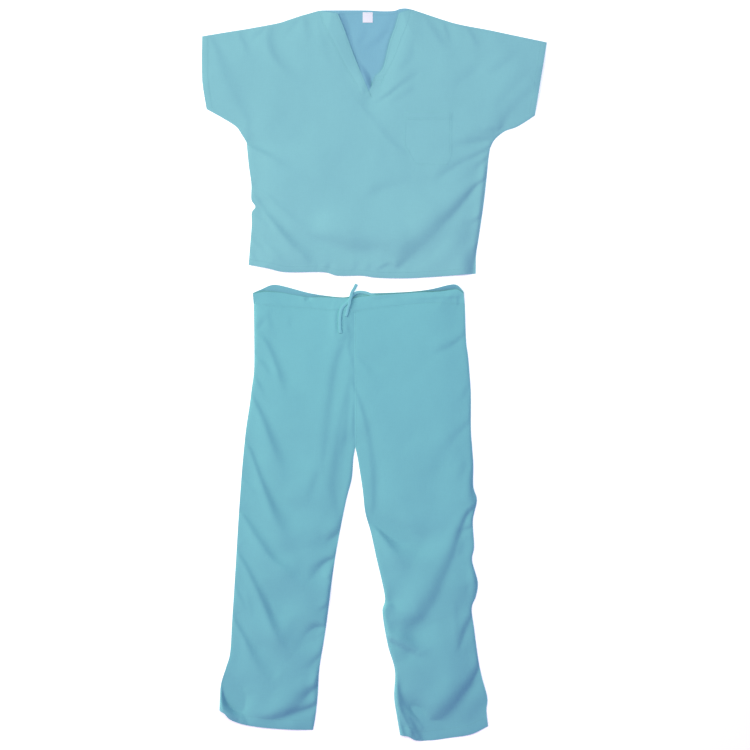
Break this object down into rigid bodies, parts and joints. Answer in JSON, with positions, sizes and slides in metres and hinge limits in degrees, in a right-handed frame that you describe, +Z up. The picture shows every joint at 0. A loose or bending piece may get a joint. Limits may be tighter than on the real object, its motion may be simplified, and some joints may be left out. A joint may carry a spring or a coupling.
{
  "type": "medical scrubs set",
  "caption": "Medical scrubs set laid out flat: a short-sleeved V-neck top with a chest pocket above full-length drawstring trousers.",
  "frame": {"origin": "on the surface that the set lies on, under the middle of the box around the set", "axes": "+X to the wearer's left, +Y towards the neck, +Z up from the surface"},
  "size_m": [0.8622, 1.832, 0.0147],
  "materials": {
    "top_cloth": "plain-woven poly-cotton, light sea blue, matt",
    "inside_cloth": "the same cloth, seen from its inside",
    "trouser_cloth": "plain-woven poly-cotton, light sea blue, matt",
    "trouser_inside": "the same cloth, seen from its inside",
    "drawstring_tape": "folded and stitched cloth tape, matt",
    "label_cloth": "white satin-woven ribbon, blank"
  },
  "bodies": {
    "root": {"top_front": "top_cloth", "top_back": "inside_cloth", "neck_band_left": "top_cloth", "neck_band_right": "top_cloth", "neck_band_back": "inside_cloth", "neck_label": "label_cloth", "chest_pocket": "top_cloth", "trouser_front_left": "trouser_cloth", "trouser_front_right": "trouser_cloth", "trouser_back_left": "trouser_inside", "trouser_back_right": "trouser_inside", "casing_front_left": "trouser_cloth", "casing_front_right": "trouser_cloth", "casing_back": "trouser_inside", "drawstring_long": "drawstring_tape", "drawstring_short": "drawstring_tape"}
  },
  "joints": []
}
